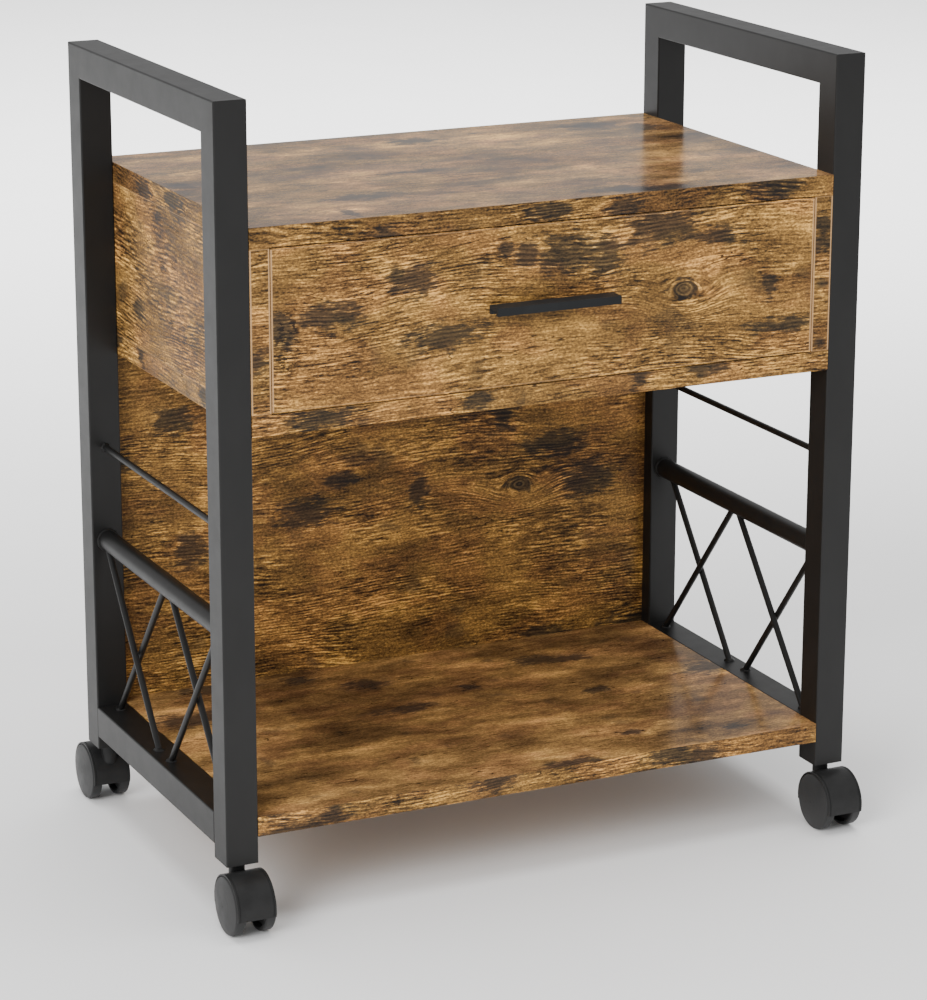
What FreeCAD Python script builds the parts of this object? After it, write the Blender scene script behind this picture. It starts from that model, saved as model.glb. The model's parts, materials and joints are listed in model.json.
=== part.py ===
import FreeCAD, Part
import os
import re
import Sketcher

# Mobile printer stand: two welded side frames on casters, joined by a drawer case, a back panel and a shelf.
# Frame: +Z up, the front faces -Y, +X to the right. Origin: on the floor, at the middle of the stand.

V = FreeCAD.Vector
UP, DOWN = V(0, 0, 1), V(0, 0, -1)
SIDES = {"left": -1, "right": 1}
ENDS = {"front": -1, "rear": 1}

DIMS = {
    # side frames
    "half_width": (260, "outer face of a side frame, from the middle"),
    "half_depth": (150, "front face of the legs, from the middle"),
    "full_height": (610, "top of the top rails"),
    "leg_foot": (50, "underside of the legs"),
    "tube": (25, "square tube, outside"),
    "tube_wall": (1.5, "square tube wall"),
    "tube_corner": (1.2, "outside corner radius of the square tube"),
    "low_rail_top": (85, "top of the bottom rails and of the shelf"),
    "round_rail_high": (222, "axis of the round rail"),
    "round_rail_rad": (8, "round rail radius"),
    "round_rail_wall": (1.2, "round rail wall"),
    "rod_high": (297, "axis of the thin rod"),
    "rod_rad": (2.5, "radius of the thin rod and of the lattice rods"),
    "lattice_high": (218, "upper end of the lattice rods, inside the round rail"),
    "lattice_head_far": (117.6, "upper end of an outer lattice rod, from the middle"),
    "lattice_foot_near": (13, "foot of an outer lattice rod, from the middle"),
    "lattice_head_near": (4.5, "upper end of an inner lattice rod, from the middle"),
    "lattice_foot_far": (113.5, "foot of an inner lattice rod, from the middle"),
    "lattice_step": (2.6, "offset of each layer of lattice rods from the frame's own plane"),
    "plug_deep": (18, "height of a leg plug"),
    "tab_long": (22, "shelf tab, inwards from the rail"),
    "tab_wide": (24, "shelf tab, along the rail"),
    "tab_thick": (2, "shelf tab"),
    "tab_at": (80, "middle of a shelf tab, from the middle"),
    # boards
    "board": (15, "board thickness"),
    "top_high": (520, "upper face of the top board"),
    "case_low": (370, "underside of the case"),
    "panel": (12, "back panel thickness"),
    "case_back_thick": (9, "case back thickness"),
    # fixings
    "cam_rad": (7.5, "cam lock"),
    "cam_deep": (12.5, "cam lock"),
    "cam_drop": (24, "cam centre, below the top board"),
    "cam_at": (95, "cam, from the middle"),
    "cam_screw_rad": (2.5, "cam bolt thread"),
    "cam_screw_long": (11, "cam bolt thread"),
    "cam_neck_rad": (3, "cam bolt neck"),
    "cam_head_rad": (3.5, "cam bolt head"),
    "cam_head_long": (5, "cam bolt head"),
    "cam_bore_rad": (4, "bore for the cam bolt in the board's edge and the cam"),
    "dowel_rad": (4, "case dowel"),
    "dowel_long": (30, "case dowel"),
    "dowel_up": (10, "how far a case dowel goes into the top board"),
    "dowel_at": (40, "case dowel, from the middle"),
    "screw_rad": (2, "long screw"),
    "screw_long": (40, "long screw"),
    "screw_head_rad": (4, "long screw head"),
    "screw_head_deep": (2.4, "long screw head"),
    "small_rad": (1.5, "short screw"),
    "small_long": (10.5, "short screw"),
    "small_head_rad": (3.3, "short screw head"),
    "small_head_tall": (0.8, "short screw head"),
    "bolt_rad": (3, "frame bolt"),
    "bolt_long": (25, "frame bolt"),
    "bolt_head_rad": (6, "frame bolt head"),
    "bolt_head_deep": (3.3, "frame bolt head"),
    "bolt_at": (133, "frame bolt, from the middle"),
    "bolt_low": (445, "lower frame bolts"),
    "bolt_high": (492, "upper frame bolts"),
    "nut_rad": (4.5, "rivet nut body"),
    "nut_bulge": (5.7, "rivet nut, where it is set behind the tube wall"),
    "nut_long": (13, "rivet nut"),
    # drawer
    "front_gap": (0.8, "gap round the drawer front"),
    "drawer_wall": (12, "drawer sides and back"),
    "slide_room": (12.5, "room for a slide between the case and the drawer"),
    "drawer_low": (412, "underside of the drawer sides"),
    "drawer_top": (487, "top of the drawer sides"),
    "drawer_rear": (115, "rear of the drawer box"),
    "bottom_low": (426, "underside of the drawer bottom"),
    "bottom_thick": (4, "drawer bottom"),
    "groove": (4.5, "depth of the groove that holds the drawer bottom"),
    "peg_rad": (3, "drawer dowel"),
    "peg_long": (22, "drawer dowel"),
    "peg_in": (10, "how far a drawer dowel goes into the front or a side"),
    "peg_low": (445, "lower drawer dowels"),
    "peg_high": (475, "upper drawer dowels"),
    "handle_half": (50, "half the handle's length"),
    "handle_out": (14, "handle, out from the drawer front"),
    "handle_top": (448, "upper face of the handle"),
    "handle_lip": (6, "height of the handle's front lip"),
    "handle_plate": (3, "thickness of the handle"),
    "handle_flange": (6.4, "height of the handle's fixing flange"),
    "handle_screw_at": (32, "handle screw, from the middle"),
    "handle_screw_high": (444.6, "handle screw"),
    "handle_screw_rad": (2, "handle screw"),
    "handle_screw_in": (17.5, "handle screw shank"),
    "handle_head_rad": (4, "handle screw head"),
    "handle_head_tall": (2.4, "handle screw head"),
    # slides
    "sheet": (1, "slide sheet"),
    "slide_low": (402, "underside of the case slide"),
    "slide_high": (422.8, "upper face of the case slide"),
    "slide_deep": (10, "width of the case slide's flanges"),
    "slide_back": (128, "rear end of the case slide"),
    "slide_front": (133, "front end of the case slide, from the middle"),
    "channel_front": (112, "front end of the case slide's flanges, from the middle"),
    "lip_low": (425, "underside of the drawer slide's lip"),
    "lip_wide": (8.5, "drawer slide's lip"),
    "ear_front": (96, "front of the drawer slide's rear ear"),
    "ear_rear": (122, "rear end of the drawer slide"),
    "ear_low": (405, "underside of the drawer slide's rear ear"),
    "roller_rad": (9, "slide roller"),
    "roller_wide": (6, "slide roller"),
    "roller_gap": (0.1, "play between a roller and the flange that it runs on"),
    "pin_rad": (2, "roller pin"),
    "pin_head_rad": (3.5, "roller pin head"),
    "pin_head_thick": (0.5, "roller pin head"),
    "front_roller_at": (122, "front roller, from the middle"),
    "rear_roller_at": (108, "rear roller, from the middle"),
    "running": (0.05, "radial play of a roller or wheel on its pin"),
    # casters
    "trail": (16, "axle, from the stem"),
    "axle_high": (22, "axle, above the floor; also the wheel's radius"),
    "hood_rad": (23.6, "hood, outside"),
    "hood_inner": (22.4, "hood, inside"),
    "hood_half": (15, "half the hood's width"),
    "hood_lip_wide": (1.4, "raised lip round the hood's ends"),
    "hood_groove_wide": (0.8, "groove beside the lip"),
    "hood_groove_deep": (0.4, "groove beside the lip"),
    "hood_cut": (17, "lower edge of the hood, above the floor"),
    "web_half": (6.5, "half the web between the wheels"),
    "boss_rad": (6, "stem boss"),
    "boss_low": (31, "underside of the stem boss"),
    "boss_round": (4.5, "rounding under the stem boss"),
    "boss_high": (49.2, "upper face of the stem boss"),
    "stem_pin_rad": (2.7, "part of the stem that the hood turns on"),
    "stem_pin_low": (27, "lower end of the stem"),
    "stem_bore_low": (26.5, "bottom of the stem bore"),
    "stem_collar_rad": (5.8, "collar of the stem"),
    "stem_collar_gap": (0.1, "play between the collar and the boss"),
    "stem_thread_rad": (4, "thread of the stem"),
    "stem_thread_long": (16, "thread of the stem"),
    "axle_rad": (2.5, "axle"),
    "axle_half": (14, "half the axle's length"),
    "wheel_in": (7.5, "inner face of a wheel, from the caster's middle"),
    "wheel_out": (15.8, "edge of a wheel's outer face"),
    "wheel_dome": (17.8, "crown of a wheel's outer face"),
    "wheel_bore_end": (14.5, "end of a wheel's bore"),
    "hub_rad": (6, "wheel hub"),
    "dish_deep": (12, "floor of the dish in a wheel's inner face"),
    "dish_rad": (18.4, "dish in a wheel's inner face"),
    "tread_round": (1.6, "rounding of the tread's edges"),
}

# positions that several pieces share
LEG_X = "(half_width - tube / 2)"
LEG_Y = "(half_depth - tube / 2)"
INNER_X = "(half_width - tube)"
CASE_X = "(half_width - tube - board)"
BOARD_MID_X = "(half_width - tube - board / 2)"
SHELF_LOW = "(low_rail_top - board)"
CASE_FLOOR = "(case_low + board)"
CASE_TOP = "(top_high - board)"
BOX_X = "(half_width - tube - board - slide_room)"
FRONT_REAR = "(-half_depth + board)"
PEG_X = "(half_width - tube - board - slide_room - drawer_wall / 2)"

doc = FreeCAD.newDocument("printer_stand")
sheet = doc.addObject("Spreadsheet::Sheet", "dims")
for row, (alias, (number, meaning)) in enumerate(DIMS.items(), start=1):
    sheet.set(f"A{row}", meaning)
    sheet.set(f"B{row}", str(number))
    sheet.setAlias(f"B{row}", alias)
doc.recompute()

NODES = {}


def expression(text):
    return re.sub(r"[a-z_]+", lambda word: f"dims.{word[0]}" if word[0] in DIMS else word[0], text)


def value(text):
    return float(sheet.evalExpression(expression(text)))


def bind(item, prop, text):
    item.setExpression(prop, expression(text))


def place(item, at, rotation=None):
    if rotation:
        item.Placement = FreeCAD.Placement(V(), rotation)
    for axis, coordinate in zip("xyz", at):
        bind(item, f"Placement.Base.{axis}", coordinate)
    return item


def facing(direction):
    return FreeCAD.Rotation(UP, direction)


def node(name, item):
    item.Label = name
    NODES[name] = item
    return item


# ---- sketches and the features made from them

def pin(item, geometry, vertex, at):
    for kind, coordinate in zip(("DistanceX", "DistanceY"), at):
        rule = Sketcher.Constraint(kind, -1, 1, geometry, vertex, value(coordinate))
        index = item.addConstraint(rule)
        bind(item, f"Constraints[{index}]", coordinate)


def polygon(item, corners):
    points = [V(value(x), value(y), 0) for x, y in corners]
    lines = [Part.LineSegment(a, b) for a, b in zip(points, points[1:] + points[:1])]
    edges = [item.addGeometry(line) for line in lines]
    for edge, following, corner in zip(edges, edges[1:] + edges[:1], corners):
        item.addConstraint(Sketcher.Constraint("Coincident", edge, 2, following, 1))
        pin(item, edge, 1, corner)


def circle(item, x, y, radius):
    edge = item.addGeometry(Part.Circle(V(value(x), value(y), 0), UP, value(radius)))
    pin(item, edge, 3, (x, y))
    index = item.addConstraint(Sketcher.Constraint("Radius", edge, value(radius)))
    bind(item, f"Constraints[{index}]", radius)


def rectangle(low_x, high_x, low_y, high_y):
    return [(low_x, low_y), (high_x, low_y), (high_x, high_y), (low_x, high_y)]


def sketch(body, name, role, polygons=(), circles=(), offset="0"):
    item = body.newObject("Sketcher::SketchObject", name)
    plane = next(f for f in body.Origin.OriginFeatures if f.Role == role)
    item.AttachmentSupport = [(plane, "")]
    item.MapMode = "FlatFace"
    bind(item, "AttachmentOffset.Base.z", offset)
    for corners in polygons:
        polygon(item, corners)
    for x, y, radius in circles:
        circle(item, x, y, radius)
    return item


def extrude(body, kind, name, profile, length, symmetric=False, reverse=False):
    item = body.newObject(f"PartDesign::{kind}", name)
    item.Profile = profile
    bind(item, "Length", length)
    item.SideType = "Symmetric" if symmetric else "One side"
    item.Reversed = reverse
    return item


def revolve(body, name, profile, axis):
    item = body.newObject("PartDesign::Revolution", name)
    item.Profile = profile
    item.ReferenceAxis = (profile, [axis])
    item.Angle = 360
    return item


def turned(name, profile):
    # a round piece whose axis is its own Z; profile is its half outline as (radius, height)
    body = doc.addObject("PartDesign::Body", name)
    outline = sketch(body, f"{name}_outline", "XZ_Plane", polygons=[profile])
    revolve(body, f"{name}_turn", outline, "V_Axis")
    return body


def round_edges(body, name, radius, wanted):
    doc.recompute()
    base = body.Tip
    names = [f"Edge{i}" for i, edge in enumerate(base.Shape.Edges, start=1) if wanted(edge)]
    item = body.newObject("PartDesign::Fillet", name)
    item.Base = (base, names)
    bind(item, "Radius", radius)
    return item


# ---- simple solids

def box(name, x, y, z):
    item = doc.addObject("Part::Box", name)
    for prop, axis, (low, high) in zip(("Length", "Width", "Height"), "xyz", (x, y, z)):
        bind(item, prop, f"({high}) - ({low})")
        bind(item, f"Placement.Base.{axis}", low)
    return item


def rod(name, radius, length, at, direction=UP):
    item = doc.addObject("Part::Cylinder", name)
    bind(item, "Radius", radius)
    bind(item, "Height", length)
    return place(item, at, facing(direction))


def group(name, members):
    item = doc.addObject("Part::Compound", name)
    item.Links = members
    return item


def fuse(name, members):
    item = doc.addObject("Part::MultiFuse", name)
    item.Shapes = members
    return item


def cut(name, base, tools):
    item = doc.addObject("Part::Cut", name)
    item.Base = base
    item.Tool = group(f"{name}_cuts", tools)
    return item


def copies(name, source, spots):
    # one copy of source at each (position, direction of its own +Z)
    links = []
    for number, (at, direction) in enumerate(spots, start=1):
        link = doc.addObject("App::Link", f"{name}_{number}")
        link.LinkedObject = source
        links.append(place(link, at, facing(direction)))
    return group(name, links)


def signed(sign, text):
    return f"{sign} * ({text})"


def span(sign, near, far):
    # the low and high ends of a stretch from near to far on one side of the middle
    low, high = (near, far) if sign > 0 else (far, near)
    return signed(sign, low), signed(sign, high)


# ---- fixings: each template's head, or the end that goes in last, is at its own Z = 0

long_screw = turned("long_screw", [
    ("0", "0"), ("screw_head_rad", "0"), ("screw_rad", "-screw_head_deep"),
    ("screw_rad", "3 - screw_long"), ("0", "-screw_long")])
short_screw = turned("short_screw", [
    ("0", "small_head_tall"), ("small_head_rad", "small_head_tall"), ("small_head_rad", "0"),
    ("small_rad", "0"), ("small_rad", "2 - small_long"), ("0", "-small_long")])
frame_bolt = turned("frame_bolt", [
    ("0", "0"), ("bolt_head_rad", "0"), ("bolt_rad", "-bolt_head_deep"),
    ("bolt_rad", "-bolt_long"), ("0", "-bolt_long")])
rivet_nut = turned("rivet_nut", [
    ("bolt_rad", "0"), ("nut_rad", "0"), ("nut_rad", "-tube_wall"), ("nut_bulge", "-tube_wall"),
    ("nut_bulge", "-tube_wall - 2"), ("nut_rad", "-tube_wall - 3"), ("nut_rad", "-nut_long"),
    ("bolt_rad", "-nut_long")])
cam_bolt = turned("cam_bolt", [
    ("0", "cam_screw_long"), ("cam_screw_rad", "cam_screw_long"), ("cam_screw_rad", "0"),
    ("cam_neck_rad", "0"), ("cam_neck_rad", "cam_head_long - cam_drop"),
    ("cam_head_rad", "cam_head_long - cam_drop"), ("cam_head_rad", "-cam_drop"), ("0", "-cam_drop")])
handle_screw = turned("handle_screw", [
    ("0", "handle_head_tall"), ("handle_head_rad * 0.6", "handle_head_tall"),
    ("handle_head_rad", "handle_head_tall * 0.5"), ("handle_head_rad", "0"),
    ("handle_screw_rad", "0"), ("handle_screw_rad", "-handle_screw_in"), ("0", "-handle_screw_in")])
caster_stem = turned("caster_stem", [
    ("0", "stem_pin_low"), ("stem_pin_rad", "stem_pin_low"),
    ("stem_pin_rad", "boss_high + stem_collar_gap"), ("stem_collar_rad", "boss_high + stem_collar_gap"),
    ("stem_collar_rad", "leg_foot"), ("stem_thread_rad", "leg_foot"),
    ("stem_thread_rad", "leg_foot + stem_thread_long"), ("0", "leg_foot + stem_thread_long")])

dowel = rod("dowel", "dowel_rad", "dowel_long", ("0", "0", "0"))
peg = rod("peg", "peg_rad", "peg_long", ("0", "0", "0"))

# a cam lock turns about its own Z and takes the bolt's head through a side bore along its own X
cam_bore = rod("cam_bore", "cam_bore_rad", "cam_rad + 2", ("0", "0", "-board / 2"), V(1, 0, 0))
cross = [box(f"cam_slot_{turn}", ("-4", "4"), ("-0.6", "0.6"), ("-2", "1")) for turn in (0, 1)]
cross[1].Placement.Rotation = FreeCAD.Rotation(UP, 90)
bind(cross[1], "Placement.Base.x", "0.6")
bind(cross[1], "Placement.Base.y", "-4")
cam_lock = cut("cam_lock", rod("cam_blank", "cam_rad", "cam_deep", ("0", "0", "-cam_deep")), [cam_bore] + cross)

leg_corners = [(s, e) for s in SIDES.values() for e in ENDS.values()]
frame_spots = [(signed(s, CASE_X), signed(e, "bolt_at"), high, V(-s, 0, 0))
               for s, e in leg_corners for high in ("bolt_low", "bolt_high")]
frame_bolts = node("frame_bolts", copies("frame_bolts", frame_bolt, [(spot[:3], spot[3]) for spot in frame_spots]))
nut_spots = [((signed(s, INNER_X), signed(e, "bolt_at"), high), V(-s, 0, 0))
             for s, e in leg_corners for high in ("bolt_low", "bolt_high")]
node("rivet_nuts", copies("rivet_nuts", rivet_nut, nut_spots))
nut_hole = turned("nut_hole", [
    ("0", "0"), ("nut_rad", "0"), ("nut_rad", "-tube_wall * 2"), ("0", "-tube_wall * 2")])
nut_holes = copies("nut_holes", nut_hole, nut_spots)

dowels = node("dowels", copies("dowels", dowel, [
    ((signed(s, BOARD_MID_X), signed(e, "dowel_at"), f"{CASE_TOP} + dowel_up - dowel_long"), UP)
    for s, e in leg_corners]))
cam_bolts = node("cam_bolts", copies("cam_bolts", cam_bolt, [
    ((signed(s, BOARD_MID_X), signed(e, "cam_at"), CASE_TOP), UP) for s, e in leg_corners]))
edge_bore = turned("edge_bore", [
    ("0", "0"), ("cam_bore_rad", "0"), ("cam_bore_rad", "-cam_drop"), ("0", "-cam_drop")])
edge_bores = copies("edge_bores", edge_bore, [
    ((signed(s, BOARD_MID_X), signed(e, "cam_at"), CASE_TOP), UP) for s, e in leg_corners])
cam_holes = []
cam_links = []
for number, (s, e) in enumerate(leg_corners, start=1):
    at = (signed(s, CASE_X), signed(e, "cam_at"), f"{CASE_TOP} - cam_drop")
    cam_holes.append(rod(f"cam_hole_{number}", "cam_rad", "cam_deep", at, V(s, 0, 0)))
    link = doc.addObject("App::Link", f"cam_lock_{number}")
    link.LinkedObject = cam_lock
    # own Z out of the board, own X upwards
    turn = FreeCAD.Rotation(V(0, 0, 1), V(0, s, 0), V(-s, 0, 0), "ZXY")
    cam_links.append(place(link, at, turn))
node("cam_locks", group("cam_locks", cam_links))

screw_x = ("-150", "0", "150")
screw_y = ("-100", "0", "100")
long_spots = [((signed(s, BOARD_MID_X), y, "case_low"), DOWN) for s in SIDES.values() for y in screw_y]
long_spots += [((signed(s, INNER_X), "half_depth - case_back_thick / 2", high), V(s, 0, 0))
               for s in SIDES.values() for high in ("420", "470")]
long_spots += [((x, "half_depth - panel / 2", CASE_FLOOR), UP) for x in screw_x]
long_spots += [((x, "half_depth", "low_rail_top - board / 2"), V(0, 1, 0)) for x in screw_x]
long_screws = node("long_screws", copies("long_screws", long_screw, long_spots))

slide_screw_y = ("-80", "20", "115")
short_spots = [((signed(s, f"{CASE_X} - sheet"), y, "slide_low + 10.5"), V(-s, 0, 0))
               for s in SIDES.values() for y in slide_screw_y]
short_spots += [((signed(s, f"{INNER_X} - tab_long / 2"), signed(e, "tab_at"), f"{SHELF_LOW} - tab_thick"), DOWN)
                for s, e in leg_corners]
short_screws = node("short_screws", copies("short_screws", short_screw, short_spots))

# ---- side frames

def square_tube(name, role, length, symmetric):
    body = doc.addObject("PartDesign::Body", name)
    outer = rectangle("-tube / 2", "tube / 2", "-tube / 2", "tube / 2")
    half_bore = "(tube / 2 - tube_wall)"
    bore = rectangle(f"-{half_bore}", half_bore, f"-{half_bore}", half_bore)
    section = sketch(body, f"{name}_section", role, polygons=[outer, bore])
    extrude(body, "Pad", f"{name}_tube", section, length, symmetric)
    half = value("tube / 2")
    limit = value(length) * 0.9

    def long_corner(edge):
        middle = edge.CenterOfMass
        across = sorted(abs(c) for c in (middle.x, middle.y, middle.z))
        return edge.Length > limit and sum(abs(c - half) < 0.01 for c in across) == 2

    round_edges(body, f"{name}_corners", "tube_corner", long_corner)
    return body


for side, s in SIDES.items():
    for end, e in ENDS.items():
        name = f"{side}_{end}_leg"
        leg = square_tube(f"{name}_stock", "XY_Plane", "full_height - leg_foot", False)
        # mitre: full height on the outer face, one tube width lower on the inner face
        wedge = [(f"{e} * (tube / 2 + 1)", "full_height - leg_foot + 1"),
                 (f"{-e} * (tube / 2 + 1)", "full_height - leg_foot + 1"),
                 (f"{-e} * (tube / 2 + 1)", "full_height - leg_foot - tube - 1")]
        mitre = sketch(leg, f"{name}_mitre", "YZ_Plane", polygons=[wedge])
        extrude(leg, "Pocket", f"{name}_mitre_cut", mitre, "2 * tube", symmetric=True)
        place(leg, (signed(s, LEG_X), signed(e, LEG_Y), "leg_foot"))
        node(name, cut(name, leg, [nut_holes]))

    name = f"{side}_top_rail"
    rail = node(name, square_tube(name, "XZ_Plane", "2 * half_depth", True))
    for e in ENDS.values():
        wedge = [(f"{e} * (half_depth + 1)", "tube / 2 + 1"),
                 (f"{e} * (half_depth + 1)", "-tube / 2 - 1"),
                 (f"{e} * (half_depth - tube - 1)", "-tube / 2 - 1")]
        mitre = sketch(rail, f"{name}_mitre_{e + 1}", "YZ_Plane", polygons=[wedge])
        extrude(rail, "Pocket", f"{name}_mitre_cut_{e + 1}", mitre, "2 * tube", symmetric=True)
    place(rail, (signed(s, LEG_X), "0", "full_height - tube / 2"))

    name = f"{side}_bottom_rail"
    rail = node(name, square_tube(name, "XZ_Plane", "2 * (half_depth - tube)", True))
    place(rail, (signed(s, LEG_X), "0", "low_rail_top - tube / 2"))

    name = f"{side}_round_rail"
    start = (signed(s, LEG_X), "tube - half_depth", "round_rail_high")
    rail_length = "2 * (half_depth - tube)"
    rail_solid = rod(f"{name}_solid", "round_rail_rad", rail_length, start, V(0, 1, 0))
    rail_bore = rod(f"{name}_bore", "round_rail_rad - round_rail_wall", rail_length, start, V(0, 1, 0))
    node(name, cut(name, rail_solid, [rail_bore]))

    name = f"{side}_thin_rod"
    start = (signed(s, LEG_X), "tube - half_depth", "rod_high")
    node(name, rod(name, "rod_rad", rail_length, start, V(0, 1, 0)))

    # lattice: on each half an outer and an inner rod cross, from the round rail to the bottom rail
    name = f"{side}_lattice_rods"
    rise = "(lattice_high - low_rail_top)"
    rods = []
    for layer, head, foot in ((1, "lattice_head_far", "lattice_foot_near"),
                              (-1, "lattice_head_near", "lattice_foot_far")):
        run = f"({head} - {foot})"
        for e in ENDS.values():
            piece = doc.addObject("Part::Cylinder", f"{name}_{len(rods)}")
            bind(piece, "Radius", "rod_rad")
            bind(piece, "Height", f"sqrt({rise} ^ 2 + {run} ^ 2) + 6")
            piece.Placement = FreeCAD.Placement(V(), FreeCAD.Rotation(V(1, 0, 0), 180))
            bind(piece, "Placement.Rotation.Angle", f"180 deg - {e} * atan({run} / {rise})")
            rods.append(place(piece, (signed(s, f"{LEG_X} + {layer} * lattice_step"),
                                      signed(e, head), "lattice_high")))
    below = box(f"{name}_below", span(s, f"{LEG_X} - tube", f"{LEG_X} + tube"),
                ("-half_depth", "half_depth"), ("leg_foot - 20", "low_rail_top"))
    node(name, cut(name, group(f"{name}_long", rods), [rail_solid, below]))

plug = cut("plug", box("plug_blank", ("-tube / 2 + tube_wall", "tube / 2 - tube_wall"),
                       ("-tube / 2 + tube_wall", "tube / 2 - tube_wall"), ("0", "plug_deep")),
           [rod("plug_bore", "stem_thread_rad", "plug_deep", ("0", "0", "0"))])
node("leg_plugs", copies("leg_plugs", plug, [
    ((signed(s, LEG_X), signed(e, LEG_Y), "leg_foot"), UP) for s, e in leg_corners]))
tabs = [box(f"tab_{number}", span(s, f"{INNER_X} - tab_long", INNER_X),
            (f"{e} * tab_at - tab_wide / 2", f"{e} * tab_at + tab_wide / 2"),
            (f"{SHELF_LOW} - tab_thick", SHELF_LOW)) for number, (s, e) in enumerate(leg_corners)]
node("shelf_tabs", cut("shelf_tabs", group("tabs", tabs), [short_screws]))

# ---- boards: fixings cut their own holes

WIDE = ("-(half_width - tube)", "half_width - tube")
DEEP = ("-half_depth", "half_depth")


def board(name, x, y, z, fixings):
    return node(name, cut(name, box(f"{name}_blank", x, y, z), fixings))


board("top_board", WIDE, DEEP, (CASE_TOP, "top_high"), [dowels, cam_bolts])
board("case_bottom_board", WIDE, DEEP, ("case_low", CASE_FLOOR), [long_screws])
for side, s in SIDES.items():
    board(f"case_{side}_side", span(s, CASE_X, INNER_X), DEEP, (CASE_FLOOR, CASE_TOP),
          [dowels, edge_bores, long_screws, short_screws, frame_bolts] + cam_holes)
board("case_back", (f"-{CASE_X}", CASE_X), ("half_depth - case_back_thick", "half_depth"),
      (CASE_FLOOR, CASE_TOP), [long_screws])
board("back_panel", WIDE, ("half_depth - panel", "half_depth"), (SHELF_LOW, "case_low"), [long_screws])
board("lower_shelf", WIDE, ("-half_depth", "half_depth - panel"), (SHELF_LOW, "low_rail_top"),
      [long_screws, short_screws])

# ---- drawer

front_pegs = [((signed(s, PEG_X), f"{FRONT_REAR} - peg_in", high), V(0, 1, 0))
              for s in SIDES.values() for high in ("peg_low", "peg_high")]
rear_pegs = [((signed(s, f"{BOX_X} - drawer_wall + peg_in"), "drawer_rear - drawer_wall / 2", high), V(-s, 0, 0))
             for s in SIDES.values() for high in ("peg_low", "peg_high")]
drawer_dowels = node("drawer_dowels", copies("drawer_dowels", peg, front_pegs + rear_pegs))
drawer_screws = node("drawer_screws", copies("drawer_screws", short_screw, [
    ((signed(s, f"{BOX_X} + sheet"), y, "drawer_low + 7"), V(s, 0, 0))
    for s in SIDES.values() for y in ("-110", "0", "80")]))
handle_screws = node("handle_screws", copies("handle_screws", handle_screw, [
    ((signed(s, "handle_screw_at"), FRONT_REAR, "handle_screw_high"), V(0, 1, 0)) for s in SIDES.values()]))

bottom_x = f"({BOX_X} - drawer_wall + groove)"
bottom_z = ("bottom_low", "bottom_low + bottom_thick")
groove_cut = box("bottom_groove", (f"-{bottom_x}", bottom_x),
                 (f"{FRONT_REAR} - groove", "drawer_rear - drawer_wall + groove"), bottom_z)
board("drawer_front", (f"-({CASE_X} - front_gap)", f"{CASE_X} - front_gap"), ("-half_depth", FRONT_REAR),
      (f"{CASE_FLOOR} + front_gap", f"{CASE_TOP} - front_gap"), [groove_cut, drawer_dowels, handle_screws])
box_z = ("drawer_low", "drawer_top")
for side, s in SIDES.items():
    board(f"drawer_{side}_side", span(s, f"{BOX_X} - drawer_wall", BOX_X), (FRONT_REAR, "drawer_rear"), box_z,
          [groove_cut, drawer_dowels, drawer_screws])
board("drawer_back", (f"-({BOX_X} - drawer_wall)", f"{BOX_X} - drawer_wall"),
      ("drawer_rear - drawer_wall", "drawer_rear"), box_z, [groove_cut, drawer_dowels])
node("drawer_bottom", box("drawer_bottom", (f"-{bottom_x}", bottom_x),
                          (f"{FRONT_REAR} - groove", "drawer_rear - drawer_wall + groove"), bottom_z))

# handle: a bar bent down at the front for the fingers and at the back for its two screws
pull = doc.addObject("PartDesign::Body", "pull")
outline = [("-half_depth", "handle_top"), ("-half_depth", "handle_top - handle_flange"),
           ("-half_depth - handle_plate", "handle_top - handle_flange"),
           ("-half_depth - handle_plate", "handle_top - handle_plate"),
           ("-half_depth - handle_out + handle_plate", "handle_top - handle_plate"),
           ("-half_depth - handle_out + handle_plate", "handle_top - handle_lip"),
           ("-half_depth - handle_out", "handle_top - handle_lip"),
           ("-half_depth - handle_out", "handle_top")]
extrude(pull, "Pad", "pull_bar", sketch(pull, "pull_section", "YZ_Plane", polygons=[outline]),
        "2 * handle_half", symmetric=True)
node("drawer_handle", cut("drawer_handle", pull, [handle_screws]))

# ---- slides and their rollers

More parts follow.
